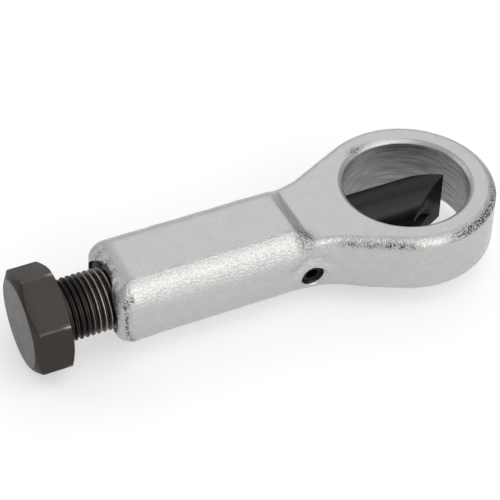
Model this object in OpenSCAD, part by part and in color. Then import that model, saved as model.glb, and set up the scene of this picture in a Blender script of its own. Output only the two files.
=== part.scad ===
// Nut splitter: a forged ring body with a hand grip, a pressure spindle with a hexagon head,
// and a keyed chisel that the spindle drives across the ring into a seized nut.
// The origin is the centre of the ring, +X runs along the spindle from its head to the ring,
// and +Z is the axis of the ring's bore. Lengths are in millimetres, angles in degrees.

/* [Ring] */
// Outside diameter of the ring
ring_od = 46.8; // [44:0.2:54]
// Bore of the ring, which goes over the nut
ring_bore = 32.8; // [28:0.2:36]
// Thickness of the ring between its ground faces
ring_h = 17.3; // [15:0.1:18.6]
// Rounding of the ring's outer edges
ring_edge_r = 2.7; // [1.5:0.1:4]
// Chamfer at both mouths of the bore
bore_chamfer = 0.5; // [0.2:0.05:1]

/* [Handle] */
// Width of the handle
handle_w = 24.2; // [22:0.2:27]
// Height of the handle
handle_h = 21.6; // [20:0.2:23]
// Distance from the ring's centre to the end of the handle
handle_reach = 84.2; // [76:0.1:100]
// Rounding along the two upper edges
upper_corner_r = 5.3; // [4:0.1:6]
// Rounding along the two lower edges
lower_corner_r = 8.6; // [7:0.1:9.4]
// Rounding of the edge round the end of the handle in side view
end_round_r = 5; // [2.5:0.1:5.6]
// Rounding of the end of the handle in plan
end_corner_r = 4.5; // [2.5:0.1:5.6]
// Distance from the ring's centre to the foot of the short upper shoulder
shoulder_foot = 31.9; // [30:0.1:34]
// Length of the upper shoulder along the handle
shoulder_len = 3.4; // [2:0.1:6]
// Distance from the ring's centre to the foot of the long lower shoulder
lower_shoulder_foot = 20.2; // [18:0.1:24]
// Length of the lower shoulder along the handle
lower_shoulder_len = 11.6; // [6:0.1:13]

/* [Neck] */
// Angle between the neck's straight flanks and the handle's sides
flank_angle = 26; // [22:0.5:31]
// Radius of the hollow between each flank and the handle's side
neck_hollow_r = 22; // [12:0.5:28]
// Depth to which the neck's sides run into the handle and the ring
neck_sink = 0.1; // [0.05:0.01:0.2]

/* [Spindle] */
// Thread diameter
thread_d = 16; // [14:0.5:17]
// Width across the flats of the hexagon head
head_af = 24; // [21:0.5:27]
// Height of the hexagon head
head_h = 10; // [8:0.1:13]
// Turn of the hexagon head from corner-up
head_turn = 2; // [0:1:59]
// Diameter of the flat circle on the head's end
head_flat_d = 22.4; // [18:0.1:23]
// Slope of the chamfer at the head's end
head_chamfer_angle = 31; // [15:1:40]
// Diameter of the flat circle under the head
under_flat_d = 23.5; // [20:0.1:24]
// Slope of the small chamfer under the head
under_chamfer_angle = 20; // [10:1:30]
// Gap between the head and the end of the handle
head_gap = 11.5; // [8:0.1:20]
// Chamfer at the spindle's inner end
spindle_chamfer = 0.9; // [0.4:0.1:1.5]
// Countersink at the mouth of the tapped hole
mouth_chamfer = 0.9; // [0.4:0.1:1.2]

/* [Chisel] */
// Diameter of the chisel
chisel_d = 14.3; // [12.5:0.1:15]
// Distance of the cutting edge past the ring's centre
edge_x = 11.1; // [6:0.1:11.6]
// Angle between the two ground bevels
bevel_angle = 60; // [45:1:75]
// Width of the land along the cutting edge
edge_land = 0.2; // [0.1:0.05:0.5]
// Width of the keyway
key_w = 4.2; // [4.1:0.05:5]
// Depth of the keyway
key_depth = 4; // [3:0.1:4.4]
// Full length of chisel behind the keyway
tail_len = 3; // [2.8:0.1:6]
// Chamfer at the chisel's inner end
tail_chamfer = 0.5; // [0.2:0.1:1]

/* [Guide screw] */
// Distance of the guide screw from the ring's centre
guide_x = 32; // [30:0.1:34]
// Slope of the guide screw below the horizontal
guide_slope = 10.5; // [0:0.5:20]
// Thread diameter of the guide screw
guide_d = 6; // [5:0.1:7]
// Diameter of the dog point that rides in the keyway
dog_d = 4; // [3:0.1:4]
// Depth of the screw's outer end below the side of the handle
guide_recess = 1; // [0.6:0.1:1.5]
// Width across the flats of the hexagon socket
socket_af = 3; // [2:0.1:3.5]
// Depth of the hexagon socket
socket_depth = 2; // [1:0.1:2.5]
// Chamfer at the mouth of the guide screw's hole
guide_chamfer = 0.3; // [0.1:0.05:0.6]

/* [Thrust ball] */
// Diameter of the ball between the spindle and the chisel
ball_d = 7; // [5:0.1:7.2]
// Gap between the spindle and the chisel round the ball
ball_gap = 2; // [1:0.1:3]

/* [Travel] */
// Forward travel of the chisel from the drawn position
travel_in = 4.5; // [3:0.1:4.6]

/* [Fits] */
// Radial running clearance of the spindle, the chisel and the ball
run_clear = 0.05; // [0.02:0.01:0.1]
// Radial clearance of the guide screw in its hole
screw_clear = 0.05; // [0.02:0.01:0.1]
// Clearance between the dog point and the floor or the closed end of the keyway
dog_clear = 0.4; // [0.2:0.05:0.6]
// Room left in the tapped hole past the spindle's forward limit
tap_runout = 1; // [0.5:0.1:2]

/* [Hidden] */
$fn = 96;

// Margin by which cutters run past the faces that they open
over = 1;
// Amount by which the trims of the handle's end clear its sides
trim_clear = 0.02;
// Slope of the drill's point at the bottom of the tapped hole
drill_point_angle = 59;

ring_r = ring_od / 2;
bore_r = ring_bore / 2;
face_z = ring_h / 2;
handle_y = handle_w / 2;
handle_z = handle_h / 2;
shoulder_drop = handle_z - face_z;

thread_r = thread_d / 2;
tap_r = thread_r + run_clear;
mouth_r = tap_r + mouth_chamfer;
chisel_r = chisel_d / 2;
guide_bore_r = chisel_r + run_clear;
ball_r = ball_d / 2;

// Places along the spindle's axis, from the ring back to the head
key_end_x = -guide_x - travel_in - dog_clear;
tail_x = key_end_x - dog_d / 2 - tail_len;
ball_x = tail_x - ball_gap / 2;
spindle_tip_x = tail_x - ball_gap;
tap_end_x = spindle_tip_x + travel_in + tap_runout;
handle_end_x = -handle_reach;
head_under_x = handle_end_x - head_gap;
head_end_x = head_under_x - head_h;

// Straight flank on the neck's +Y side, sunk a little into the ring: its foot beside the ring's centre,
// its direction towards the ring and the way along it from the foot to the handle's side
neck_y = handle_y - neck_sink;
flank_dir = [cos(flank_angle), sin(flank_angle)];
flank_foot = (ring_r - neck_sink) * [-flank_dir.y, flank_dir.x];
flank_reach = (flank_foot.y - neck_y) / flank_dir.y;
// Centre of the hollow on that side, sunk as much into the handle and the flank
hollow_x = flank_foot.x - flank_reach * flank_dir.x
    + neck_sink / flank_dir.y - neck_hollow_r * tan(flank_angle / 2);
hollow_y = neck_y + neck_hollow_r;
// Edge roundings of the neck: the ring's own above, one that stays inside the handle's below
neck_upper_r = ring_edge_r;
neck_lower_r = lower_corner_r - shoulder_drop;

// Turned trim of the handle's end, raised above the spindle's axis so that it just clears all four long edges
function edge_far(r, rise) = norm([handle_y - r, handle_z - r + rise]) + r;
trim_rise = edge_far(upper_corner_r, 0) - edge_far(lower_corner_r, 0);
handle_trim_r = max(edge_far(upper_corner_r, -trim_rise), edge_far(lower_corner_r, trim_rise)) + trim_clear;

// Distances from the axis along the guide screw
key_floor_r = chisel_r - key_depth;
dog_end_r = key_floor_r + dog_clear;
guide_seat_r = guide_bore_r + dog_clear;
guide_mouth_r = handle_y / cos(guide_slope);
guide_out_r = guide_mouth_r - guide_recess;

STEEL_ZINC = [0.78, 0.79, 0.80];
STEEL_BLACK = [0.17, 0.16, 0.15];
STEEL_BRIGHT = [0.70, 0.71, 0.72];

// Rectangle about the origin whose upper and lower corners have their own radii
module rounded_section(w, h, upper_r, lower_r) {
    difference() {
        square([w, h], center = true);
        for (side = [0, 1]) mirror([side, 0]) {
            translate([w / 2, h / 2]) corner_cut(upper_r);
            translate([w / 2, -h / 2]) mirror([0, 1]) corner_cut(lower_r);
        }
    }
}

// What a rounding takes off a corner that points to +X and +Y
module corner_cut(r) {
    translate([-r, -r]) difference() {
        square(r + over);
        circle(r);
    }
}

// Round bar or cone on the spindle's axis between two places
module along_x(x0, x1, r0, r1) {
    translate([x0, 0, 0]) rotate([0, 90, 0]) cylinder(h = x1 - x0, r1 = r0, r2 = r1);
}

// Places children at the guide screw, with Z pointing outwards from the spindle's axis
module at_guide(x) {
    translate([x, 0, 0]) rotate([90 + guide_slope, 0, 0]) children();
}

// Side view of the handle: a rounded end, a short shoulder above and a long one below that run on into the neck
module handle_side() {
    reach = handle_z + over;
    back_x = handle_end_x - over;
    upper_slope = shoulder_len / shoulder_drop;
    lower_slope = lower_shoulder_len / shoulder_drop;
    upper_line = [for (z = [reach, 0]) [-shoulder_foot + (face_z - z) * upper_slope, z]];
    lower_line = [for (x = [over, (face_z - reach) * lower_slope])
        [-lower_shoulder_foot + x, x / lower_slope - face_z]];
    intersection() {
        polygon(concat([[back_x, -reach], [back_x, reach]], upper_line, lower_line));
        rounded_end(handle_z + trim_clear, end_round_r);
    }
}

// Long strip on the X axis with rounded corners
module rounded_end(half_w, r) {
    rounded_section(2 * handle_reach, 2 * half_w, r, r);
}

// Bar with two corner sizes, rounded at its end in side view, in plan and round its long edges
module handle() {
    intersection() {
        translate([handle_end_x - over, 0, 0]) rotate([90, 0, 90])
            linear_extrude(handle_reach) rounded_section(handle_w, handle_h, upper_corner_r, lower_corner_r);
        rotate([90, 0, 0]) linear_extrude(2 * handle_w, center = true) handle_side();
        linear_extrude(2 * handle_h, center = true) rounded_end(handle_y + trim_clear, end_corner_r);
        translate([0, 0, trim_rise]) rotate([0, 90, 0]) rotate_extrude() intersection() {
            rotate(90) rounded_end(handle_trim_r, end_round_r);
            translate([0, -2 * handle_reach]) square([2 * handle_trim_r, 4 * handle_reach]);
        }
    }
}

// Web between handle and ring: straight flanks that start inside the handle, and hollows that run into both
module neck() {
    flank_inner = (1 - ring_edge_r / ring_r) * flank_foot;
    flank_back = flank_foot - (flank_foot.y - neck_y + upper_corner_r) / flank_dir.y * flank_dir;
    hollow_end = [hollow_x, hollow_y] + neck_hollow_r * [flank_dir.y, -flank_dir.x];
    hollow_inner = hollow_end + lower_corner_r * [flank_dir.y, -flank_dir.x];
    intersection() {
        web([flank_back, flank_foot, flank_inner]);
        flank_side();
        mirror([0, 1, 0]) flank_side();
    }
    intersection() {
        web([[hollow_x, neck_y], hollow_end, hollow_inner]);
        hollow_side();
        mirror([0, 1, 0]) hollow_side();
    }
}

// Plate between three points and their mirror images
module web(half) {
    linear_extrude(handle_h, center = true)
        polygon(concat(half, [for (i = [2, 1, 0]) [half[i].x, -half[i].y]]));
}

// Broad bar along the +Y flank, with the neck's rounded edges at its outer side
module flank_side() {
    translate(flank_foot - 2 * flank_reach * flank_dir) rotate([90, 0, 90 + flank_angle])
        linear_extrude(2 * flank_reach + over) translate([-hollow_y, 0])
            rounded_section(2 * hollow_y, ring_h, neck_upper_r, neck_lower_r);
}

// Broad ring round the centre of the +Y hollow, with the neck's rounded edges at its hole
module hollow_side() {
    translate([hollow_x, hollow_y, 0]) rotate_extrude() translate([neck_hollow_r + hollow_y, 0])
        rounded_section(2 * hollow_y, ring_h, neck_upper_r, neck_lower_r);
}

// Disc of the ring before it is bored
module ring_disc() {
    rotate_extrude() intersection() {
        rounded_section(ring_od, ring_h, ring_edge_r, ring_edge_r);
        translate([0, -ring_h]) square([ring_od, 2 * ring_h]);
    }
}

// Bore of the ring with a chamfer at each mouth
module ring_bore_cut() {
    cylinder(h = ring_h + 2 * over, r = bore_r, center = true);
    for (side = [0, 1]) mirror([0, 0, side]) translate([0, 0, face_z - bore_chamfer])
        cylinder(h = bore_chamfer + over, r1 = bore_r, r2 = bore_r + bore_chamfer + over);
}

// Countersunk tapped hole for the spindle, and beyond it the plain bore that guides the chisel
module spindle_bore_cut() {
    cone_len = (tap_r - guide_bore_r) / tan(drill_point_angle);
    along_x(handle_end_x - over, tap_end_x, tap_r, tap_r);
    along_x(handle_end_x - over, handle_end_x + mouth_chamfer, mouth_r + over, tap_r);
    along_x(tap_end_x, tap_end_x + cone_len, tap_r, guide_bore_r);
    along_x(tap_end_x, 0, guide_bore_r, guide_bore_r);
}

// Chamfered hole for the guide screw, from the side of the handle into the guide bore
module guide_hole_cut() {
    at_guide(-guide_x) {
        translate([0, 0, dog_end_r]) cylinder(h = guide_mouth_r + over, d = guide_d);
        translate([0, 0, guide_mouth_r - guide_chamfer])
            cylinder(h = guide_chamfer + over, r1 = guide_d / 2, r2 = guide_d / 2 + guide_chamfer + over);
    }
}

// One forging: handle, neck and ring, bored for the nut, the spindle, the chisel and the guide screw
module body() {
    color(STEEL_ZINC) difference() {
        union() {
            handle();
            neck();
            ring_disc();
        }
        ring_bore_cut();
        spindle_bore_cut();
        guide_hole_cut();
    }
}

// Hexagon chamfered on both sides, on a shank of the thread's outside diameter
module pressure_spindle() {
    chamfer_x = spindle_tip_x - spindle_chamfer;
    color(STEEL_BLACK) difference() {
        union() {
            rotate([head_turn, 0, 0]) translate([head_end_x, 0, 0]) rotate([0, 90, 0]) hexagon_head();
            along_x(head_under_x - over, chamfer_x, thread_r, thread_r);
            along_x(chamfer_x, spindle_tip_x, thread_r, thread_r - spindle_chamfer);
        }
        ball_seat_cut();
    }
}

// Hexagon prism that stands on Z, with its corners turned off, more at its end than below
module hexagon_head() {
    corner_r = head_af / sqrt(3);
    flat_r = head_flat_d / 2;
    under_r = under_flat_d / 2;
    turned_r = corner_r + over;
    rise = (turned_r - flat_r) * tan(head_chamfer_angle);
    under_rise = (turned_r - under_r) * tan(under_chamfer_angle);
    intersection() {
        cylinder(h = head_h, r = corner_r, $fn = 6);
        rotate_extrude() polygon([[0, 0], [flat_r, 0], [turned_r, rise],
                                  [turned_r, head_h - under_rise], [under_r, head_h], [0, head_h]]);
    }
}

// Round cup for the ball
module ball_seat_cut() {
    translate([ball_x, 0, 0]) sphere(ball_r + run_clear);
}

// Plan of the chisel: straight sides that meet in a wedge with a narrow land
module chisel_plan() {
    side_y = chisel_r + over;
    bevel_x = edge_x - (side_y - edge_land / 2) / tan(bevel_angle / 2);
    half = [[tail_x - over, side_y], [bevel_x, side_y], [edge_x, edge_land / 2]];
    polygon(concat(half, [for (i = [2, 1, 0]) [half[i].x, -half[i].y]]));
}

// Keyway along the chisel, closed by a half-round end and open through the bevel
module keyway_cut() {
    at_guide(0) translate([0, 0, key_floor_r]) linear_extrude(key_depth + over) {
        translate([key_end_x, -key_w / 2]) square([edge_x + over - key_end_x, key_w]);
        translate([key_end_x, 0]) circle(d = key_w);
    }
}

// Round bar ground to a cutting edge that stands along the ring's bore
module chisel() {
    shoulder_x = tail_x + tail_chamfer;
    color(STEEL_BLACK) difference() {
        intersection() {
            union() {
                along_x(tail_x, shoulder_x, chisel_r - tail_chamfer, chisel_r);
                along_x(shoulder_x, edge_x + over, chisel_r, chisel_r);
            }
            linear_extrude(2 * chisel_d, center = true) chisel_plan();
        }
        keyway_cut();
        ball_seat_cut();
    }
}

// Socket set screw whose dog point keeps the chisel from turning
module guide_screw() {
    color(STEEL_BLACK) at_guide(-guide_x) difference() {
        union() {
            translate([0, 0, dog_end_r]) cylinder(h = guide_out_r - dog_end_r, d = dog_d);
            translate([0, 0, guide_seat_r])
                cylinder(h = guide_out_r - guide_seat_r, r = guide_d / 2 - screw_clear);
        }
        translate([0, 0, guide_out_r - socket_depth])
            cylinder(h = socket_depth + over, r = socket_af / sqrt(3), $fn = 6);
    }
}

// Hard ball that takes the thrust, so the spindle turns while the chisel doesn't
module thrust_ball() {
    color(STEEL_BRIGHT) translate([ball_x, 0, 0]) sphere(ball_r);
}

body();
pressure_spindle();
chisel();
guide_screw();
thrust_ball();
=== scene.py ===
import itertools
import math

import bmesh
import bpy
import numpy as np
from mathutils import Matrix, Vector


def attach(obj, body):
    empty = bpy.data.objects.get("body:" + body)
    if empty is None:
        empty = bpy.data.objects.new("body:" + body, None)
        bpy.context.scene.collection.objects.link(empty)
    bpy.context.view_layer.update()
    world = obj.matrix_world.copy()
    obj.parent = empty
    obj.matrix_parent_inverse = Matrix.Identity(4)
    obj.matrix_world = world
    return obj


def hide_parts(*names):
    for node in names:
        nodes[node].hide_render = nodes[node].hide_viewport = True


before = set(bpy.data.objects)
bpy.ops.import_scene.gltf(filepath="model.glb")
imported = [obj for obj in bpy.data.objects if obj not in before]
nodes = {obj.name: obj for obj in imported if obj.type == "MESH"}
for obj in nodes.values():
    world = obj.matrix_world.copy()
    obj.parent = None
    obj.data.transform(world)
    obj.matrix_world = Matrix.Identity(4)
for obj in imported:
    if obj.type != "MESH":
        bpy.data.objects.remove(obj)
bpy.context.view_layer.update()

mm = 0.001
scene = bpy.context.scene
print("frame loaded:", sorted(nodes))


def linearColour(hexText):
    srgb = np.array([int(hexText[i:i + 2], 16) for i in (1, 3, 5)]) / 255
    linear = np.where(srgb <= 0.04045, srgb / 12.92, ((srgb + 0.055) / 1.055) ** 2.4)
    return (*linear.tolist(), 1.0)


# adds one shader node: settings are its own properties, inputs are plain values or other nodes' outputs
def addNode(tree, kind, settings=None, inputs=None, output=0):
    node = tree.nodes.new("ShaderNode" + kind)
    for name, value in (settings or {}).items():
        setattr(node, name, value)
    for name, value in (inputs or {}).items():
        if isinstance(value, bpy.types.NodeSocket):
            tree.links.new(value, node.inputs[name])
        else:
            node.inputs[name].default_value = value
    return node.outputs[output] if len(node.outputs) else node


def newMaterial(name):
    material = bpy.data.materials.new(name)
    material.use_nodes = True
    material.node_tree.nodes.clear()
    return material, material.node_tree


# smoothstep: 0 up to start, 1 from end on, with level ends; it falls where start is the larger one
def ease(value, start, end):
    part = np.clip((value - start) / (end - start), 0, 1)
    return part * part * (3 - 2 * part)


# bell curve: 1 at the middle, falling away over the given spread
def bell(value, middle, spread):
    return np.exp(-((value - middle) / spread) ** 2)


# smooth random heights: one number at each corner of cubes of the given size, blended with smoothstep
# weights
def lumps(points, size, seed):
    cells, offset = 32, 7.3
    table = np.random.default_rng(seed).random((cells, cells, cells))
    place = points / size + offset
    base = np.floor(place).astype(int)
    part = place - base
    part = part * part * (3 - 2 * part)
    total = np.zeros(len(points))
    for corner in itertools.product((0, 1), repeat=3):
        index = (base + corner) % cells
        weight = np.prod(np.where(np.array(corner) == 1, part, 1 - part), axis=1)
        total += weight * table[index[:, 0], index[:, 1], index[:, 2]]
    return total


# quads between neighbouring points of a grid that is stored row by row
def gridFaces(rows, columns, start=0, flip=False):
    row, column = np.meshgrid(np.arange(rows - 1), np.arange(columns - 1), indexing="ij")
    corner = start + row * columns + column
    quads = np.stack([corner, corner + 1, corner + columns + 1, corner + columns], -1).reshape(-1, 4)
    return quads[:, ::-1] if flip else quads


def writeShade(mesh, name, values):
    layer = mesh.attributes.new(name, "FLOAT", "POINT")
    layer.data.foreach_set("value", values.astype(np.float32))


# points in millimetres go into a mesh in metres with their shades; equal points are merged and faces turned
# outwards
def makePiece(name, points, faces, sharpAngle, shades=None):
    mergeDistance = 0.0004
    mesh = bpy.data.meshes.new(name)
    mesh.from_pydata((points * mm).tolist(), [], faces.tolist())
    for shadeName, values in (shades or {}).items():
        writeShade(mesh, shadeName, values)
    work = bmesh.new()
    work.from_mesh(mesh)
    bmesh.ops.remove_doubles(work, verts=work.verts, dist=mergeDistance * mm)
    bmesh.ops.recalc_face_normals(work, faces=work.faces)
    work.to_mesh(mesh)
    work.free()
    mesh.shade_smooth()
    mesh.set_sharp_from_angle(angle=math.radians(sharpAngle))
    piece = bpy.data.objects.new(name, mesh)
    scene.collection.objects.link(piece)
    return piece


def readPoints(mesh):
    flat = np.zeros(len(mesh.vertices) * 3)
    mesh.vertices.foreach_get("co", flat)
    return flat.reshape(-1, 3) / mm


def readNormals(mesh):
    flat = np.zeros(len(mesh.vertices) * 3, np.float32)
    mesh.vertex_normals.foreach_get("vector", flat)
    return flat.reshape(-1, 3).astype(float)


# camera: a long lens from the head's side, looking down on the tool; millimetres and degrees
view = {"place": (-195.1, -314.4, 323.1), "turn": 25.43, "tilt": 42.86, "roll": 0.965, "lens": 135.7,
        "sensor": 36, "shift": (0.0117, 0.0106)}


def makeCamera():
    turn, tilt, roll = (math.radians(view[name]) for name in ("turn", "tilt", "roll"))
    back = Vector((-math.cos(tilt) * math.sin(turn), -math.cos(tilt) * math.cos(turn), math.sin(tilt)))
    right = Vector((math.cos(turn), -math.sin(turn), 0))
    up = back.cross(right)
    rolledRight = right * math.cos(roll) + up * math.sin(roll)
    rolledUp = up * math.cos(roll) - right * math.sin(roll)
    data = bpy.data.cameras.new("camera")
    data.sensor_width = view["sensor"]
    data.lens = view["lens"]
    data.shift_x, data.shift_y = view["shift"]
    data.clip_start = 0.01
    camera = bpy.data.objects.new("camera", data)
    cameraTurn = Matrix((rolledRight, rolledUp, back)).transposed().to_4x4()
    camera.matrix_world = Matrix.Translation(Vector(view["place"]) * mm) @ cameraTurn
    scene.collection.objects.link(camera)
    return camera


scene.camera = makeCamera()
print("camera set")


# body: zinc-plated forging with ground flats, a turned ring bore and a drilled and tapped handle;
# sizes in millimetres and degrees, and most pairs are the two ends of a range
bodySizes = {
    "endX": -84.2, "halfWidth": 12.1, "halfHeight": 10.8, "planCorner": 4.46, "endRound": 6.1,
    "faceHeight": 8.65,
    "upperSlope": (-35.4, -31.95, 0.7),         # top, foot and softening of the slope to the ring
    "lowerSlope": (-31.8, -20.2, 1.5),
    "flankAngle": 26.06, "hollowRadius": 22.2, "ringRadius": 23.39,
    "upperRound": 5.3, "lowerRound": 8.56, "ringUpper": 2.45, "ringLower": 2.9, "ringBlend": (-36.9, -17.3),
    "step": 0.34, "fewest": 6,                  # spacing of points on the outline, fewest in a stretch
    "flatPoints": 15, "roundPoints": 16, "sidePoints": 26, "spineRun": 25, "spineTurn": 0.6,
    "grind": 0.06, "grindShare": 0.24,          # depth ground off, and its share of a taller rounding
    "nearExtra": 2.5,                           # the near upper rounding is this much taller
    "creaseWave": 0.07, "waveSizes": (6.0, 2.4), "waveStart": (-77, -70), "waveEnd": 20,
    "bulge": 0.5, "partingZ": -0.5, "bulgeHeight": 7, "bulgeLimit": 1.2,
    "bulgeStart": (-80, -72), "bulgeEnd": (-26, -13),
    "boreRadius": 16.35, "rollWidth": 1.25, "rollLean": (52, 18),
    "tapRadius": 8.05, "mouthRadius": 9.6, "mouthDepth": 1.2, "tapEndX": -38.4, "drillPoint": 59,
    "guideRadius": 7.2, "guideEndX": -8, "holeEndX": -13,
    "screwX": -32.0, "screwSlope": 10.5, "screwRadius": 3.0, "screwMouth": 12.31, "screwChamfer": 0.3,
    "screwStart": 3.5,
    "lumpDepth": 0.13, "lumpWidth": 1.5, "fineLumpWidth": 0.75, "pitDepth": 0.16, "pitWidth": 0.55,
    "pitSpread": (0.35, 0.75), "groundRise": (0.985, 0.93),
    # groove over the screw hole
    "hollowReach": 5.6, "hollowDepth": 0.45, "hollowSpread": 1.5, "hollowZ": -2.2,
    "seamDepth": 0.09, "softShoulder": (-38, -30), "level": 0.99, "leaning": 0.97,
}
# stretches of the plan's outline, from the middle of the front to the far end of the ring
onFront, onCorner, onSide, onHollow, onFlank, onRing = range(6)


# height of a flat at x: the handle's, then a straight slope with softened ends, then the ring's
def flatHeight(x, slope):
    sizes = bodySizes
    topX, footX, soft = slope
    samples = np.linspace(-soft, soft, 9)
    ramp = np.clip((footX - (x[..., None] + samples)) / (footX - topX), 0, 1)
    return sizes["faceHeight"] + (sizes["halfHeight"] - sizes["faceHeight"]) * ramp.mean(-1)


# near half of the plan: front edge, front corner, handle side, hollow, straight flank, ring;
# each row holds x, y, the inward direction, the number of the stretch and the share of it passed
def planOutline():
    sizes = bodySizes
    width, corner, end = sizes["halfWidth"], sizes["planCorner"], sizes["endX"]
    hollow, ring = sizes["hollowRadius"], sizes["ringRadius"]
    turn = math.radians(sizes["flankAngle"])
    reach = (ring * math.cos(turn) - width) / math.sin(turn)
    run = hollow * math.tan(turn / 2)
    hollowX = -ring * math.sin(turn) - reach * math.cos(turn) - run
    flankX, flankY = hollowX + hollow * math.sin(turn), -width - hollow + hollow * math.cos(turn)
    lengths = [width - corner, corner * math.pi / 2, hollowX - end - corner, hollow * turn, reach - run,
               ring * (math.pi / 2 + turn)]
    rows = []
    for stretch, length in enumerate(lengths):
        count = max(int(length / sizes["step"]), sizes["fewest"])
        t = np.linspace(0, 1, count, endpoint=stretch == onRing)
        one = np.ones(count)
        if stretch == onFront:
            x, y, nx, ny = end * one, -t * length, one, 0 * one
        elif stretch == onCorner:
            nx, ny = np.cos(t * math.pi / 2), np.sin(t * math.pi / 2)
            x, y = end + corner - corner * nx, corner - width - corner * ny
        elif stretch == onSide:
            x, y, nx, ny = end + corner + t * length, -width * one, 0 * one, one
        elif stretch == onHollow:
            nx, ny = np.sin(turn * t), np.cos(turn * t)
            x, y = hollowX + hollow * nx, -width - hollow + hollow * ny
        elif stretch == onFlank:
            nx, ny = math.sin(turn) * one, math.cos(turn) * one
            x, y = flankX + t * length * math.cos(turn), flankY - t * length * math.sin(turn)
        else:
            around = 1.5 * math.pi - turn + (math.pi / 2 + turn) * t
            nx, ny = -np.cos(around), -np.sin(around)
            x, y = -ring * nx, -ring * ny
        rows.append(np.stack([x, y, nx, ny, stretch * one, t], 1))
    return np.concatenate(rows)


# edge of a flat in plan, inside the outline: rounding is the handle's corner radius there
def flatEdge(outline, rounding, inset):
    sizes = bodySizes
    x, y, nx, ny, stretch, t = outline.T
    cornerY = sizes["halfWidth"] - rounding
    innerX = sizes["endX"] + sizes["endRound"]
    edge = np.stack([np.maximum(x + nx * inset, innerX), y + ny * inset], 1)
    share = cornerY / (sizes["halfWidth"] - sizes["planCorner"])
    front = stretch == onFront
    edge[front] = np.stack([np.full(front.sum(), innerX), y[front] * share], 1)
    edge[stretch == onCorner] = (innerX, -cornerY)
    return edge


# line along the middle that the flats are drawn in to: down the axis to the ring's centre
def flatSpine(outline, rounding):
    sizes = bodySizes
    x, y, nx, ny, stretch, t = outline.T
    cornerY = sizes["halfWidth"] - rounding
    innerX = sizes["endX"] + sizes["endRound"]
    drawn = np.where(stretch == onFront, innerX + cornerY * t, innerX + cornerY)
    along = np.maximum(x, innerX) + cornerY * (1 - ease(x, innerX, innerX + sizes["spineRun"]))
    drawn = np.where(stretch >= onSide, along, drawn)
    ringPart = ease(t, 0, sizes["spineTurn"]) * (stretch == onRing)
    ringStart = x[stretch == onRing][0]
    drawn = np.where(stretch == onRing, ringStart * (1 - ringPart), drawn)
    return np.stack([drawn, np.zeros(len(x))], 1)


# vertical size of an edge rounding: the end's own along the front, running into the handle's at the corner
def roundHeight(outline, rounding, inset):
    sizes = bodySizes
    x, y, nx, ny, stretch, t = outline.T
    rest = max(rounding - sizes["endRound"], 0)
    past = np.clip(np.abs(y) - (sizes["halfWidth"] - rounding), 0, rest)
    front = rounding - np.sqrt(np.maximum(rest ** 2 - past ** 2, 0))
    return np.where(stretch == onFront, front, np.where(stretch == onCorner, rounding, inset))


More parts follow.
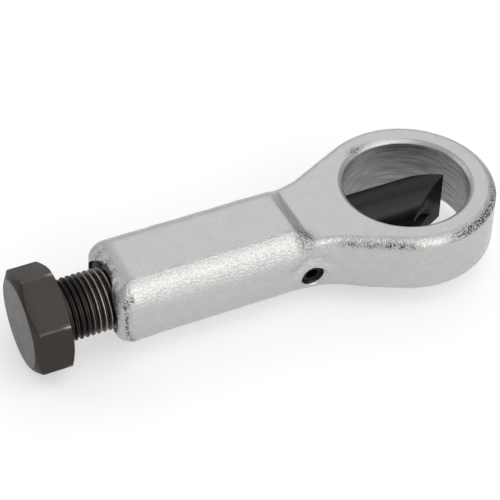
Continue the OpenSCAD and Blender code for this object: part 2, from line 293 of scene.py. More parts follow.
# one half of the forged skin, drawn on the near side: at each place on the outline the profile runs over
# the upper flat, an edge rounding (a quarter ellipse whose crown is ground off), the side, the lower
# rounding and the lower flat
def bodyHalf(upperExtra, bulge):
    sizes = bodySizes
    outline = planOutline()
    plan, x, stretch = outline[:, :2], outline[:, 0], outline[:, 4]
    drop = sizes["halfHeight"] - sizes["faceHeight"]
    onHandle = (flatHeight(x, sizes["upperSlope"]) - sizes["faceHeight"]) / drop
    toRing = ease(x, *sizes["ringBlend"]) * (stretch >= onSide)
    upperInset = sizes["ringUpper"] + (sizes["upperRound"] - sizes["ringUpper"]) * onHandle
    lowerInset = sizes["lowerRound"] * (1 - toRing) + sizes["ringLower"] * toRing
    # the hand-held grinding belt leaves creases that wander
    place = np.stack([x, plan[:, 1], 0 * x], 1)
    wander = lumps(place, sizes["waveSizes"][0], seed=3) + lumps(place, sizes["waveSizes"][1], seed=4)
    waving = ease(x, *sizes["waveStart"]) * (x < sizes["waveEnd"])
    upperInset = upperInset * (1 + sizes["creaseWave"] * (wander - 1) * waving)
    # one side keeps a taller rounding
    taller = np.where(stretch >= onSide, onHandle, 0)
    taller = np.where(stretch == onCorner, ease(outline[:, 5], 0, 1), taller)
    columns = []
    for sign, rounding, inset, slope, extra in (
            (1, sizes["upperRound"], upperInset, sizes["upperSlope"], upperExtra),
            (-1, sizes["lowerRound"], lowerInset, sizes["lowerSlope"], 0)):
        edge = flatEdge(outline, rounding, inset)
        spine = flatSpine(outline, rounding)
        tall = roundHeight(outline, rounding, inset) + extra * taller
        grind = sizes["grind"] + sizes["grindShare"] * extra * taller
        crown = np.arcsin(tall / (tall + grind))
        flatShare = np.linspace(0, 1, sizes["flatPoints"])[None, :, None]
        flat = spine[:, None] + (edge - spine)[:, None] * flatShare
        angle = crown[:, None] * (1 - np.linspace(0, 1, sizes["roundPoints"] + 1)[None, 1:])
        across = (1 - np.cos(angle)) / (1 - np.cos(crown))[:, None]
        rounded = plan[:, None] + (edge - plan)[:, None] * across[..., None]
        base = flatHeight(edge[:, 0], slope) - tall
        roundedZ = base[:, None] + (tall + grind)[:, None] * np.sin(angle)
        height = np.concatenate([flatHeight(flat[..., 0], slope), roundedZ], 1)
        columns.append(np.concatenate([np.concatenate([flat, rounded], 1), sign * height[..., None]], 2))
    upper, lower = columns
    sideShare = np.linspace(0, 1, sizes["sidePoints"] + 2)[None, 1:-1, None]
    side = upper[:, -1:] * (1 - sideShare) + lower[:, -1:] * sideShare
    grid = np.concatenate([upper, side, lower[:, ::-1]], 1)
    # handle and neck bulge at the parting line: the sides fall in by the square of the height above it,
    # and the fall runs out over the roundings
    along = ease(x, *sizes["bulgeStart"]) * (1 - ease(x, *sizes["bulgeEnd"])) * (stretch >= onSide)
    runOut = ease(np.linspace(0, 1, sizes["roundPoints"]), 0, 1)
    runOut = np.concatenate([np.zeros(sizes["flatPoints"]), runOut])
    across = np.concatenate([runOut, np.ones(sizes["sidePoints"]), runOut[::-1]])
    square = ((grid[..., 2] - sizes["partingZ"]) / sizes["bulgeHeight"]) ** 2
    fall = bulge * np.minimum(square, sizes["bulgeLimit"]) * across * along[:, None]
    grid[..., :2] += fall[..., None] * outline[:, None, 2:4]
    return grid


# round cutter: a profile of distance along and distance from the axis, turned through a full circle
def turnedCutter(name, profile, segments, axes, origin):
    along, radius = np.array(profile).T
    angle = np.linspace(0, 2 * math.pi, segments + 1)
    grid = np.stack([radius[:, None] * np.cos(angle), radius[:, None] * np.sin(angle),
                     np.repeat(along[:, None], segments + 1, 1)], -1)
    points = grid.reshape(-1, 3) @ np.array(axes).T + np.array(origin)
    return makePiece(name, points, gridFaces(len(along), segments + 1), sharpAngle=30)


def bodyCutters():
    sizes = bodySizes
    past = 3.0                  # how far a cutter stands out of the forging
    # the bore's wall runs out to the faces over a slack arc, worn by use, which leans less and less
    top, bore, width = sizes["faceHeight"], sizes["boreRadius"], sizes["rollWidth"]
    lean = np.radians(np.linspace(*sizes["rollLean"], 12))
    bend = width / (math.sin(lean[0]) - math.sin(lean[-1]))
    depth = bend * (math.cos(lean[-1]) - math.cos(lean[0]))
    rollZ = top - bend * (np.cos(lean[-1]) - np.cos(lean[1:]))
    rollRadius = bore + bend * (np.sin(lean[0]) - np.sin(lean[1:]))
    roll = list(zip(rollZ, rollRadius))
    roll[-1] = (top + 0.02, roll[-1][1])        # just clear of the face
    wall = [(z, bore) for z in np.linspace(-(top - depth), top - depth, 40)]
    lowRoll = [(-z, r) for z, r in reversed(roll)]
    ringProfile = [(-top - past, 0), (-top - past, bore + width), *lowRoll, *wall, *roll,
                   (top + past, bore + width), (top + past, 0)]
    ring = turnedCutter("ringCutter", ringProfile, segments=240, axes=np.eye(3), origin=(0, 0, 0))
    # spindle hole: a counterbore with a cone, the tapped length, a drill point and the chisel's plain bore
    end, tap, guide = sizes["endX"], sizes["tapRadius"], sizes["guideRadius"]
    tapStart = end + sizes["mouthDepth"] + sizes["mouthRadius"] - tap
    mouth = [(x, sizes["mouthRadius"]) for x in (end - past, end, end + sizes["mouthDepth"])]
    tapWall = [(x, tap) for x in np.linspace(tapStart, sizes["tapEndX"], 30)]
    cone = sizes["tapEndX"] + (tap - guide) / math.tan(math.radians(sizes["drillPoint"]))
    guideWall = [(x, guide) for x in np.linspace(cone, sizes["guideEndX"], 20)]
    spindleProfile = [(end - past, 0), *mouth, *tapWall, *guideWall, (sizes["guideEndX"], 0)]
    alongX = np.array([[0, 0, 1], [1, 0, 0], [0, 1, 0]])
    spindleHole = turnedCutter("spindleCutter", spindleProfile, segments=160, axes=alongX, origin=(0, 0, 0))
    # guide screw's hole, which slopes down from the axis to the near side
    slope = math.radians(sizes["screwSlope"])
    outward = np.array([0, -math.cos(slope), -math.sin(slope)])
    sideways = np.array([1.0, 0, 0])
    screwAxes = np.stack([sideways, np.cross(outward, sideways), outward], 1)
    radius, inner = sizes["screwRadius"], sizes["screwStart"]
    start = sizes["screwMouth"] - sizes["screwChamfer"]
    screwWall = [(d, radius) for d in np.linspace(inner, start, 20)]
    screwProfile = [(inner, 0), *screwWall, (start + past, radius + past), (start + past, 0)]
    screwHole = turnedCutter("screwCutter", screwProfile, segments=72, axes=screwAxes,
                             origin=(sizes["screwX"], 0, 0))
    return [ring, spindleHole, screwHole]


def cutAway(piece, cutters):
    for cutter in cutters:
        cut = piece.modifiers.new(cutter.name, "BOOLEAN")
        cut.operation = "DIFFERENCE"
        cut.solver = "EXACT"
        cut.object = cutter
    bpy.context.view_layer.update()
    done = piece.evaluated_get(bpy.context.evaluated_depsgraph_get())
    mesh = bpy.data.meshes.new_from_object(done)
    piece.modifiers.clear()
    piece.data = mesh
    for cutter in cutters:
        bpy.data.objects.remove(cutter)


# places that the grinding belt missed, where the dark pit tone is partly a painted reflection in the rough
# skin: a pair is a middle and a spread, or where a share starts and is full, and around is the angle about
# the ring's axis in degrees
rawSkinReflectionZones = {
    "patchSize": 1.3, "patchSpread": (0.25, 0.75),
    "shoulder": {"x": (-33.2, 2.4), "y": (-9.0, 2.6), "z": (5, 7)},
    "front": {"lean": (-0.22, -0.5), "rise": (0.1, 0.35), "endX": -70, "share": 0.5},
    "flank": {"z": (7.1, 0.9), "start": (-28, -21), "end": (-6, -11), "y": -12},
    "ringEdge": {"rise": (0.1, 0.3), "flat": (0.97, 0.8), "radius": 20},
    "ringRight": {"start": (262, 285), "end": (352, 325)},
    "ringFar": {"start": (320, 345), "end": (50, 10), "last": 60, "share": 0.4},
    "rim": {"around": (109, 13), "radius": (17.7, 0.9), "z": 7.6},
}


# share of raw forged skin, where the scale pits are left; their dark tone is partly a painted reflection
def rawSkinAndReflection(points, normals):
    sizes, zones = bodySizes, rawSkinReflectionZones
    x, y, z = points.T
    nx, ny, nz = normals.T
    around = np.degrees(np.arctan2(y, x)) % 360
    radius = np.hypot(x, y)
    outside = (radius > sizes["boreRadius"] + 0.3) & (np.hypot(y, z) > sizes["mouthRadius"] * 0.98)
    patchy = ease(lumps(points, zones["patchSize"], seed=8), *zones["patchSpread"])
    zone = zones["shoulder"]
    shoulder = bell(x, *zone["x"]) * bell(y, *zone["y"]) * ease(z, *zone["z"])
    zone = zones["front"]
    front = zone["share"] * ease(nx, *zone["lean"]) * ease(nz, *zone["rise"]) * (x < zone["endX"]) * patchy
    zone = zones["flank"]
    flank = bell(z, *zone["z"]) * ease(x, *zone["start"]) * ease(x, *zone["end"]) * (y < zone["y"])
    flank = flank * (0.5 + 0.5 * patchy)
    zone = zones["ringEdge"]
    onEdge = ease(nz, *zone["rise"]) * ease(nz, *zone["flat"]) * (radius > zone["radius"])
    zone = zones["ringRight"]
    ringRight = onEdge * ease(around, *zone["start"]) * ease(around, *zone["end"])
    zone = zones["ringFar"]
    wrapped = ease(around, *zone["start"]) + ease(around, *zone["end"]) * (around < zone["last"])
    ringFar = zone["share"] * onEdge * wrapped
    zone = zones["rim"]
    rim = bell(around, *zone["around"]) * bell(radius, *zone["radius"]) * (z > zone["z"])
    rim = rim * (0.4 + 0.6 * patchy)
    share = np.maximum.reduce([shoulder, front, flank, ringRight, ringFar, rim])
    return np.clip(share, 0, 1) * outside


# seam: thin wandering line down the front corner where the die halves met, at one direction of the normals;
# a shallow groove is pressed in, and its darkness is painted shade
def seamLine(points, normals):
    direction, spread, wander = -0.84, 0.07, 0.07
    wiggle = wander * (lumps(points * (0, 0, 1), 2.2, seed=9) - 0.5)
    onFrontCorner = points[:, 0] < bodySizes["endX"] + bodySizes["planCorner"]
    line = bell(normals[:, 1] + wiggle, direction, spread) * onFrontCorner
    # it fades out below, and above where the corner turns over into the flat
    return line * ease(points[:, 2], -9, -5) * ease(normals[:, 2], 0.85, 0.55)


# pits and shallow lumps are pressed into the skin along its normals; ground flats and bores stay true
def pressSkin(mesh):
    sizes = bodySizes
    points, normals = readPoints(mesh), readNormals(mesh)
    x, y, z = points.T
    rawAndReflection, seam = rawSkinAndReflection(points, normals), seamLine(points, normals)
    inRing = np.hypot(x, y) < sizes["boreRadius"] + sizes["rollWidth"]
    # walls are told apart by their radius, with a little slack
    mouthEnd = sizes["endX"] + sizes["mouthDepth"] + sizes["mouthRadius"] - sizes["tapRadius"]
    holeRadius = np.where(x < mouthEnd, sizes["mouthRadius"] + 0.01, sizes["tapRadius"] + 0.05)
    inHole = (np.hypot(y, z) < holeRadius) & (x < sizes["holeEndX"])
    forged = np.where(inRing | inHole, 0, ease(np.abs(normals[:, 2]), *sizes["groundRise"]))
    coarse = lumps(points, sizes["lumpWidth"], seed=5)
    fine = lumps(points, sizes["fineLumpWidth"], seed=6)
    swell = coarse * 0.5 + fine * 0.5
    pits = ease(lumps(points, sizes["pitWidth"], seed=7), *sizes["pitSpread"])
    # hammered groove in a bow over the screw's hole
    fromX, fromZ = x - sizes["screwX"], z - sizes["hollowZ"]
    groove = bell(np.hypot(fromX, fromZ), sizes["hollowReach"], sizes["hollowSpread"]) * (0.4 + swell)
    groove = groove * ease(fromZ, 0.5, 3.5) * (y < -9)      # only above the hole and on the near side
    depth = forged * sizes["lumpDepth"] * swell + rawAndReflection * sizes["pitDepth"] * pits
    depth = depth + forged * (sizes["hollowDepth"] * groove + sizes["seamDepth"] * seam)
    moved = points - normals * depth[:, None]
    mesh.vertices.foreach_set("co", (moved * mm).astype(np.float32).ravel())
    mesh.update()
    onWall = np.hypot(x, y) < sizes["boreRadius"] + 0.12
    for name, shade in (("rawSkinAndReflection", rawAndReflection), ("seam", seam * forged), ("forgedSkin", forged),
                        ("boreWall", onWall), ("holeWall", inHole)):
        writeShade(mesh, name, shade)


# ground flats end in a crisp crease, apart from the soft shoulder: an edge is sharp where one of its faces
# lies level and the other leans
def sharpenCreases(mesh):
    sizes = bodySizes
    normals = np.zeros(len(mesh.polygons) * 3, np.float32)
    mesh.polygons.foreach_get("normal", normals)
    corners = np.zeros(len(mesh.polygons), np.int32)
    mesh.polygons.foreach_get("loop_total", corners)
    rise = np.repeat(np.abs(normals[2::3]), corners)
    edgeOf = np.zeros(len(mesh.loops), np.int32)
    mesh.loops.foreach_get("edge_index", edgeOf)
    lowest, highest = np.ones(len(mesh.edges)), np.zeros(len(mesh.edges))
    np.minimum.at(lowest, edgeOf, rise)
    np.maximum.at(highest, edgeOf, rise)
    ends = np.zeros(len(mesh.edges) * 2, np.int32)
    mesh.edges.foreach_get("vertices", ends)
    edgeX = readPoints(mesh)[ends[::2], 0]
    offShoulder = (edgeX < sizes["softShoulder"][0]) | (edgeX > sizes["softShoulder"][1])
    crisp = (lowest < sizes["leaning"]) & (highest > sizes["level"]) & offShoulder
    already = np.zeros(len(mesh.edges), bool)
    mesh.edges.foreach_get("use_edge_sharp", already)
    mesh.edges.foreach_set("use_edge_sharp", crisp | already)


def makeBody():
    near, far = bodyHalf(bodySizes["nearExtra"], bodySizes["bulge"]), bodyHalf(0, 0)
    rows, columns = near.shape[:2]
    points = np.concatenate([near.reshape(-1, 3), far.reshape(-1, 3) * (1, -1, 1)])
    faces = np.concatenate([gridFaces(rows, columns), gridFaces(rows, columns, rows * columns, True)])
    piece = makePiece("forgedBody", points, faces, sharpAngle=40)
    print("forged skin:", len(piece.data.vertices), "points")
    cutAway(piece, bodyCutters())
    print("bores cut:", len(piece.data.polygons), "faces")
    pressSkin(piece.data)
    piece.data.shade_smooth()
    piece.data.set_sharp_from_angle(angle=math.radians(32))
    sharpenCreases(piece.data)
    return piece


body = makeBody()
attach(body, "frame")
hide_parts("body")


# spindle: hexagon head turned to a chamfer on both sides, rolled right-hand thread, cup for the thrust ball
spindleSizes = {
    "headEndX": -105.7, "underX": -95.7, "acrossFlats": 24.0, "cornerRound": 0.3, "turn": 2.0, "edge": 0.14,
    "endFlat": 11.2, "endSlope": 31.0, "underFlat": 11.75, "underSlope": 20.0,
    "faceRadii": (0, 3, 6, 9),
    "neckSteps": ((9.5, 0), (8.0, 0), (7.65, 0.12)),    # radius and distance from the head
    "crest": 7.97, "root": 7.02, "pitch": 1.5, "threadGap": 0.35, "runOut": 2.6, "startRadius": 7.5,
    "tipX": -43.9, "tipRadius": 6.9, "ballX": -42.9, "cupRadius": 3.55,
    "wearAndHighlightX": (-91.0, -86.0),                    # wear and painted highlight on the crests grow to full along here
    "knock": 1.6,                               # corners are knocked this near to the head's ends
}


# radius of a hexagon with rounded corners: flat sides are half the width over the cosine from their middle,
# corners are arcs whose centres lie on the corner directions
def hexagonRadius(fromCorner):
    halfFlat, rounding = spindleSizes["acrossFlats"] / 2, spindleSizes["cornerRound"]
    centre = (halfFlat - rounding) / math.cos(math.pi / 6)
    limit = math.atan2(rounding * 0.5, centre + rounding * math.cos(math.pi / 6))
    arc = centre * np.cos(fromCorner)
    arc = arc + np.sqrt(np.maximum(rounding * rounding - (centre * np.sin(fromCorner)) ** 2, 0))
    return np.where(fromCorner < limit, arc, halfFlat / np.cos(math.pi / 6 - fromCorner))


# one chamfered side of the head, from its middle out: rows of radius and depth below the flat, edges broken
def headSide(hexagon, flat, slope):
    edge = spindleSizes["edge"]
    one = np.ones(len(hexagon))
    fall = math.tan(math.radians(slope))
    depth = np.maximum(hexagon - flat, 0) * fall
    near = np.maximum(hexagon - 1.2 * edge, flat + 0.9 * edge)
    return [((flat - 1.5 * edge) * one, 0 * one), ((flat - 0.4 * edge) * one, 0.1 * edge * one),
            ((flat + 0.8 * edge) * one, 0.5 * edge * one),
            (near, np.maximum((near - flat) * fall, 0.55 * edge)),
            (np.maximum(hexagon - 0.3 * edge, near), depth + 0.2 * edge), (hexagon, depth + 1.3 * edge)]


def makeSpindle():
    sizes = spindleSizes
    # angles crowd towards the six corners
    sector = np.concatenate([np.linspace(0, 1.6, 5), np.linspace(4, 56, 14), np.linspace(58.4, 60, 5)[:-1]])
    angle = np.radians(np.concatenate([sector + 60 * i for i in range(6)] + [[360.0]]))
    one = np.ones(len(angle))
    fromCorner = angle % (math.pi / 3)
    fromCorner = np.minimum(fromCorner, math.pi / 3 - fromCorner)
    hexagon = hexagonRadius(fromCorner)
    # head: rows of radius, x and whether they belong to the turned end face
    end, under = sizes["headEndX"], sizes["underX"]
    endSide = headSide(hexagon, sizes["endFlat"], sizes["endSlope"])
    underSide = headSide(hexagon, sizes["underFlat"], sizes["underSlope"])
    headRows = [(r * one, end * one, 1 * one) for r in sizes["faceRadii"]]
    headRows += [(r, end + d, (i < 2) * one) for i, (r, d) in enumerate(endSide)]
    headRows += [(hexagon, (end + (under - end) * share) * one, 0 * one) for share in (0.3, 0.5, 0.7)]
    headRows += [(r, under - d, 0 * one) for r, d in reversed(underSide)]
    headRows += [(r * one, (under + d) * one, 0 * one) for r, d in sizes["neckSteps"]]
    headRadius, headX, endFace = (np.stack([row[i] for row in headRows]) for i in range(3))
    # thread: one pitch of profile points, shifted along the axis by the pitch times the angle's share of a
    # turn; share is the place within the pitch, rise the height from root to crest
    pitch, crest, root = sizes["pitch"], sizes["crest"], sizes["root"]
    share = np.array([0, 0.035, 0.125, 0.16, 0.435, 0.49, 0.635, 0.69, 0.965])
    rise = np.array([1, 1, 1, 0.93, 0.08, 0, 0, 0.08, 0.93])
    turns = int((sizes["tipX"] - under) / pitch) + 3
    place = (np.arange(-1, turns)[:, None] + share).ravel()
    height = np.tile(rise, turns + 1)
    startX, tipX, startRadius = under + sizes["threadGap"], sizes["tipX"], sizes["startRadius"]
    threadX = np.clip(startX + pitch * (place[:, None] + angle[None] / (2 * math.pi)), startX, tipX)
    full = ease(threadX, startX, startX + sizes["runOut"])
    threadRadius = startRadius + (root + (crest - root) * height[:, None] - startRadius) * full
    threadRadius = np.minimum(threadRadius, sizes["tipRadius"] + (tipX - threadX))
    # end: flat rim and a round cup
    cup = sizes["cupRadius"]
    rim = math.sqrt(cup ** 2 - (sizes["ballX"] - tipX) ** 2)
    cupAngle = np.linspace(math.asin(rim / cup), 0, 10)
    cupX = sizes["ballX"] - cup * np.cos(cupAngle)
    tailRadius = np.concatenate([[sizes["tipRadius"] * 0.75], cup * np.sin(cupAngle)])[:, None] * one
    tailX = np.concatenate([[tipX], cupX])[:, None] * one
    radius = np.concatenate([headRadius, threadRadius, tailRadius])
    x = np.concatenate([headX, threadX, tailX])
    turned = angle + math.radians(sizes["turn"]) + math.pi / 2
    points = np.stack([x, radius * np.cos(turned), radius * np.sin(turned)], -1)
    # bare steel shows on crests that have been through the nut thread and where corners were knocked; on
    # the crests it is also a painted highlight
    crestWearAndHighlight = np.clip((height[:, None] - 0.9) * 10, 0, 1) * ease(threadX, *sizes["wearAndHighlightX"]) * full
    atEnds = np.minimum(np.abs(headX - end), np.abs(headX - under)) < sizes["knock"]
    cornerWear = bell(fromCorner, 0, 0.02) * (np.abs(headRadius - hexagon) < 0.1) * (0.15 + 0.85 * atEnds)
    wornAndHighlit = np.concatenate([cornerWear, crestWearAndHighlight, 0 * tailX])
    # the end face's lighter tone is a painted reflection
    endFaceReflection = np.concatenate([endFace, 0 * threadX, 0 * tailX])
    return makePiece("threadedSpindle", points.reshape(-1, 3), gridFaces(*radius.shape), sharpAngle=24,
                     shades={"wornAndHighlit": wornAndHighlit.ravel(), "endFaceReflection": endFaceReflection.ravel()})


spindle = makeSpindle()
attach(spindle, "spindle")
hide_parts("pressure_spindle")
print("spindle:", len(spindle.data.polygons), "faces")


# chisel and guide screw keep their CAD form, with the edges broken on a stone to the given width
brokenEdges = {
    "chisel": {"piece": "groundChisel", "body": "ram", "slot": "black_tool_steel", "width": 0.16},
    "guide_screw": {"piece": "setScrew", "body": "frame", "slot": "black_screw_steel", "width": 0.1},
}


def breakEdges(nodeName, sizes):
    edgeAngle = math.radians(30)
    mesh = nodes[nodeName].data.copy()
    work = bmesh.new()
    work.from_mesh(mesh)
    bmesh.ops.remove_doubles(work, verts=work.verts, dist=0.002 * mm)
    bmesh.ops.dissolve_limit(work, angle_limit=math.radians(1), verts=work.verts, edges=work.edges)
    work.to_mesh(mesh)
    work.free()
    mesh.shade_smooth()
    mesh.set_sharp_from_angle(angle=edgeAngle)
    piece = bpy.data.objects.new(sizes["piece"], mesh)
    scene.collection.objects.link(piece)
    bevel = piece.modifiers.new("brokenEdges", "BEVEL")
    bevel.width = sizes["width"] * mm
    bevel.segments = 2
    bevel.limit_method = "ANGLE"
    bevel.angle_limit = edgeAngle
    bevel.harden_normals = True
    return piece


groundPieces = {}
for nodeName, sizes in brokenEdges.items():
    groundPieces[nodeName] = breakEdges(nodeName, sizes)
    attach(groundPieces[nodeName], sizes["body"])
    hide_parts(nodeName)
print("edges broken:", sorted(groundPieces))


# sockets of the Mix node, whose names repeat for numbers and colours
mixShare, mixNumberA, mixNumberB, mixColourA, mixColourB, mixColourOut = 0, 2, 3, 6, 7, 2

# drop-forged steel, belt-ground flats, turned bore and a dull zinc plating: pale grey, finely grained metal
zincLook = {
    # the pit tone is partly a painted reflection: dark speckle standing in for a dark room seen in rough
    # skin
    "dull": "#bdbebe", "bright": "#c8c8c7", "grainTone": "#9a9b9b", "pitAndReflectionTone": "#343433",
    # painted shade darkens the seam's groove
    "seamShadeTone": "#3c3c3b",
    # the bore's two tones are painted shade inside the ring's bore, broken by turning marks
    "boreShadeDark": "#7b7c7c", "boreShadePale": "#b4b5b5", "holeShadeTone": "#4c4b4a",
    # size in millimetres, detail and roughness of each noise; the grain is drawn coarser, to show
    "noises": {"grain": (0.31, 2.0, 0.7), "bloom": (4.2, 3.0, 0.5), "pit": (0.48, 3.0, 0.65),
               "dapple": (0.55, 2.0, 0.65)},
    "markLength": 8.3, "markSpacing": 0.53,
    # range of a noise that is spread out, and the most that it mixes in
    "spreads": {"grain": (0.35, 0.65, 0.45), "pit": (0.45, 0.54, 1.0), "marks": (0.35, 0.68, 1.0)},
    "roughRange": (0.34, 0.46), "forgedRough": 0.3, "rawRough": 0.42,
    "grainRise": 0.02, "dappleRise": 0.2, "pitRise": 0.3, "markRise": 0.03,     # millimetres
}


def makeZinc():
    look = zincLook
    material, tree = newMaterial("zinc-plated forged steel")
    place = addNode(tree, "TexCoord", output="Object")
    shades = {}
    for name in ("rawSkinAndReflection", "forgedSkin", "seam", "boreWall", "holeWall"):
        shades[name] = addNode(tree, "Attribute", {"attribute_name": name}, output="Fac")
    noises = {}
    for name, (size, detail, roughness) in look["noises"].items():
        noises[name] = addNode(tree, "TexNoise", None, {"Vector": place, "Scale": 1 / (size * mm),
                                                        "Detail": detail, "Roughness": roughness}, "Fac")
    # turning marks run round the bore: long across, close together along it; the wall's two tones are
    # painted darker than the skin, a painted shade inside the bore
    across, apart = 1 / (look["markLength"] * mm), 1 / (look["markSpacing"] * mm)
    drawnOut = addNode(tree, "Mapping", None, {"Vector": place, "Scale": (across, across, apart)})
    noises["marks"] = addNode(tree, "TexNoise", None, {"Vector": drawnOut, "Scale": 1.0, "Detail": 4.0,
                                                       "Roughness": 0.7}, "Fac")
    spread = {}
    for name, (low, high, most) in look["spreads"].items():
        spread[name] = addNode(tree, "MapRange", None, {"Value": noises[name], "From Min": low,
                                                        "From Max": high, "To Max": most})
    # raw skin's dark pits are partly a painted reflection; the seam's darkening is painted shade
    pitsAndReflection, seamShade = (addNode(tree, "Math", {"operation": "MULTIPLY"}, {0: shades[name], 1: spread["pit"]})
                      for name in ("rawSkinAndReflection", "seam"))
    turned = addNode(tree, "Mix", {"data_type": "RGBA"},
                     {mixShare: spread["marks"], mixColourA: linearColour(look["boreShadeDark"]),
                      mixColourB: linearColour(look["boreShadePale"])}, mixColourOut)
    # each layer covers the ones before it by its share
    tone = linearColour(look["dull"])
    for share, colour in ((noises["bloom"], linearColour(look["bright"])),
                          (spread["grain"], linearColour(look["grainTone"])),
                          (pitsAndReflection, linearColour(look["pitAndReflectionTone"])), (seamShade, linearColour(look["seamShadeTone"])),
                          (shades["boreWall"], turned),
                          # painted shade inside the spindle's hole and at its mouth
                          (shades["holeWall"], linearColour(look["holeShadeTone"]))):
        tone = addNode(tree, "Mix", {"data_type": "RGBA"},
                       {mixShare: share, mixColourA: tone, mixColourB: colour}, mixColourOut)
    smoothest, roughest = look["roughRange"]
    rough = addNode(tree, "MapRange", None, {"Value": noises["grain"], "From Min": 0.3, "From Max": 0.7,
                                             "To Min": smoothest, "To Max": roughest})
    for name, value in (("forgedSkin", look["forgedRough"]), ("rawSkinAndReflection", look["rawRough"])):
        rough = addNode(tree, "Mix", {"data_type": "FLOAT"},
                        {mixShare: shades[name], mixNumberA: rough, mixNumberB: value})
    # heights add up: grain everywhere, dapples on forged skin, pits on raw skin, marks in the bore
    relief = addNode(tree, "Math", {"operation": "MULTIPLY"}, {0: noises["grain"], 1: look["grainRise"]})
    for shadeName, noiseName, rise in (("forgedSkin", "dapple", look["dappleRise"]),
                                       ("rawSkinAndReflection", "pit", look["pitRise"]),
                                       ("boreWall", "marks", look["markRise"])):
        height = addNode(tree, "Math", {"operation": "MULTIPLY"}, {0: shades[shadeName], 1: rise})
        relief = addNode(tree, "Math", {"operation": "MULTIPLY_ADD"},
                         {0: noises[noiseName], 1: height, 2: relief})
    bump = addNode(tree, "Bump", None, {"Height": relief, "Strength": 1.0, "Distance": mm})
    shader = addNode(tree, "BsdfPrincipled", None, {"Base Color": tone, "Metallic": 1.0, "Roughness": rough,
                                                    "Normal": bump})
    addNode(tree, "OutputMaterial", None, {"Surface": shader})
    return material


# blackened steel, oiled: a film of black oxide over the metal, with a brown cast
blackLooks = {
    "pressure_spindle": {"name": "black oxide steel", "dark": "#3b3837", "pale": "#423f3d", "rough": 0.38},
    "chisel": {"name": "blackened tool steel", "dark": "#2d2c2b", "pale": "#373635", "rough": 0.4},
    "guide_screw": {"name": "blackened screw steel", "dark": "#252322", "pale": "#2d2b29", "rough": 0.42},
}
# sizes in millimetres, and how far the roughness swings down and up
blackDetail = {"grainSize": 0.53, "cloudSize": 3.85, "grainRise": 0.015, "roughSwing": (0.07, 0.09),
               "edgeTint": (0.7, 0.7, 0.7, 1.0)}
# lighter patches: the turned end face, painted lighter as a painted reflection, and bare steel on crests
# and corners where the film is rubbed off, the crests' pale tone also a painted highlight; each broken up
# by a noise that is spread from low to high and starts at least
spindleWearAndSheen = (
    {"shade": "endFaceReflection", "noise": "cloud", "low": 0.2, "high": 0.8, "least": 0.5, "tone": "#7d7b78"},
    {"shade": "wornAndHighlit", "noise": "grain", "low": 0.28, "high": 0.5, "least": 0.0, "tone": "#b0a79f"},
)


def makeBlackSteel(look, wearAndSheen):
    detail = blackDetail
    material, tree = newMaterial(look["name"])
    place = addNode(tree, "TexCoord", output="Object")
    noises = {}
    for name, size, roughness in (("grain", detail["grainSize"], 0.65),
                                  ("cloud", detail["cloudSize"], 0.5)):
        noises[name] = addNode(tree, "TexNoise", None, {"Vector": place, "Scale": 1 / (size * mm),
                                                        "Detail": 3.0, "Roughness": roughness}, "Fac")
    tone = addNode(tree, "Mix", {"data_type": "RGBA"},
                   {mixShare: noises["cloud"], mixColourA: linearColour(look["dark"]),
                    mixColourB: linearColour(look["pale"])}, mixColourOut)
    for patch in wearAndSheen:
        shade = addNode(tree, "Attribute", {"attribute_name": patch["shade"]}, output="Fac")
        broken = addNode(tree, "MapRange", None, {"Value": noises[patch["noise"]], "From Min": patch["low"],
                                                  "From Max": patch["high"], "To Min": patch["least"]})
        share = addNode(tree, "Math", {"operation": "MULTIPLY"}, {0: shade, 1: broken})
        tone = addNode(tree, "Mix", {"data_type": "RGBA"},
                       {mixShare: share, mixColourA: tone, mixColourB: linearColour(patch["tone"])},
                       mixColourOut)
    down, up = detail["roughSwing"]
    rough = addNode(tree, "MapRange", None, {"Value": noises["grain"], "From Min": 0.3, "From Max": 0.7,
                                             "To Min": look["rough"] - down, "To Max": look["rough"] + up})
    bump = addNode(tree, "Bump", None, {"Height": noises["grain"], "Strength": 1.0,
                                        "Distance": detail["grainRise"] * mm})
    shader = addNode(tree, "BsdfPrincipled", None, {"Base Color": tone, "Metallic": 1.0, "Roughness": rough,
                                                    "Specular Tint": detail["edgeTint"], "Normal": bump})
    addNode(tree, "OutputMaterial", None, {"Surface": shader})
    return material


# hardened, ground and polished ball: bright, with a faint haze of lapping marks
ballLook = {"dark": "#bcbdbf", "pale": "#c9cacc", "hazeSize": 0.9, "roughRange": (0.1, 0.2)}


def makeBallSteel():
    look = ballLook
    material, tree = newMaterial("bearing steel")
    place = addNode(tree, "TexCoord", output="Object")
    haze = addNode(tree, "TexNoise", None, {"Vector": place, "Scale": 1 / (look["hazeSize"] * mm),
                                            "Detail": 4.0}, "Fac")
    tone = addNode(tree, "Mix", {"data_type": "RGBA"},
                   {mixShare: haze, mixColourA: linearColour(look["dark"]),
                    mixColourB: linearColour(look["pale"])}, mixColourOut)
    smoothest, roughest = look["roughRange"]
    rough = addNode(tree, "MapRange", None, {"Value": haze, "From Min": 0.3, "From Max": 0.7,
                                             "To Min": smoothest, "To Max": roughest})
    shader = addNode(tree, "BsdfPrincipled", None,
                     {"Base Color": tone, "Metallic": 1.0, "Roughness": rough})
    addNode(tree, "OutputMaterial", None, {"Surface": shader})
    return material


body.data.materials.clear()
body.data.materials.append(makeZinc())
spindle.data.materials.append(makeBlackSteel(blackLooks["pressure_spindle"], spindleWearAndSheen))
for nodeName, piece in groundPieces.items():
    piece.data.materials.clear()
    piece.data.materials.append(makeBlackSteel(blackLooks[nodeName], ()))
nodes["thrust_ball"].material_slots[0].material = makeBallSteel()
print("materials set")


# white sweep under the tool: white to the camera and in reflections, pale card to everything else
stageSizes = {"floorZ": -13.95, "reach": 3.0, "card": "#d9d9d9", "glow": 0.44, "share": 0.62, "room": 0.52}


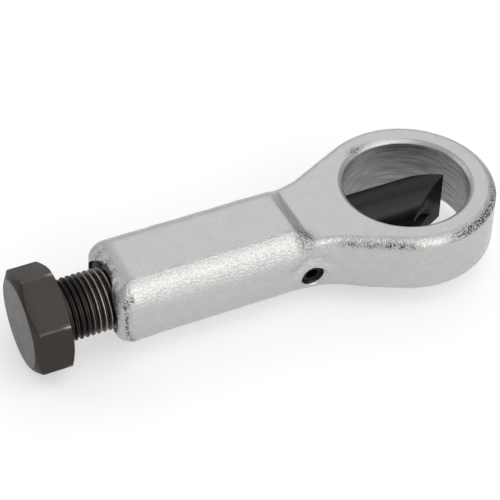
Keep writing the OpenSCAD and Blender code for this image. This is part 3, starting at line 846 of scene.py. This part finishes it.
def makeFloor():
    sizes = stageSizes
    reach, height = sizes["reach"], sizes["floorZ"] * mm
    mesh = bpy.data.meshes.new("floor")
    mesh.from_pydata([(-reach, -reach, height), (reach, -reach, height), (reach, reach, height),
                      (-reach, reach, height)], [], [(0, 1, 2, 3)])
    material, tree = newMaterial("white card")
    lightPath = addNode(tree, "LightPath").node.outputs
    seen = lightPath["Is Camera Ray"]
    for name in ("Is Glossy Ray", "Is Transmission Ray"):
        seen = addNode(tree, "Math", {"operation": "MAXIMUM"}, {0: seen, 1: lightPath[name]})
    card = addNode(tree, "BsdfDiffuse", None, {"Color": linearColour(sizes["card"])})
    shade = addNode(tree, "BsdfDiffuse", None, {"Color": (sizes["share"],) * 3 + (1,)})
    glow = addNode(tree, "Emission", None, {"Color": (1, 1, 1, 1), "Strength": sizes["glow"]})
    white = addNode(tree, "AddShader", None, {0: shade, 1: glow})
    mixed = addNode(tree, "MixShader", None, {0: seen, 1: card, 2: white})
    addNode(tree, "OutputMaterial", None, {"Surface": mixed})
    mesh.materials.append(material)
    piece = bpy.data.objects.new("floor", mesh)
    scene.collection.objects.link(piece)
    return piece


floor = makeFloor()

# studio: a dim grey room and large soft boxes, two behind the tool and two on the camera's side
world = bpy.data.worlds.new("studio")
world.use_nodes = True
world.node_tree.nodes.clear()
room = addNode(world.node_tree, "Background", None,
               {"Color": (stageSizes["room"],) * 3 + (1,), "Strength": 1.0})
addNode(world.node_tree, "OutputWorld", None, {"Surface": room})
scene.world = world

# places and sizes in metres, powers in watts; the two boxes on the camera's side are a little warm
lampAim = Vector((-0.03, 0, 0))
lamps = {
    "backBox": {"place": (0.34, 0.80, 0.82), "size": 0.95, "power": 2.15, "tint": (1, 1, 1)},
    "keyBox": {"place": (0.26, -0.52, 0.86), "size": 1.2, "power": 5.4, "tint": (1, 0.975, 0.95)},
    "fillBox": {"place": (0.22, -1.00, 0.40), "size": 0.7, "power": 2.6, "tint": (1, 0.975, 0.95)},
    "leftBox": {"place": (-0.66, 0.70, 0.54), "size": 0.6, "power": 1.0, "tint": (1, 1, 1)},
}
for name, lamp in lamps.items():
    light = bpy.data.lights.new(name, "AREA")
    light.shape = "SQUARE"
    light.size = lamp["size"]
    light.energy = lamp["power"]
    light.color = lamp["tint"]
    holder = bpy.data.objects.new(name, light)
    holder.location = lamp["place"]
    holder.rotation_euler = (lampAim - Vector(lamp["place"])).to_track_quat("-Z", "Y").to_euler()
    scene.collection.objects.link(holder)
scene.view_settings.view_transform = "Standard"
print("stage and lamps set")
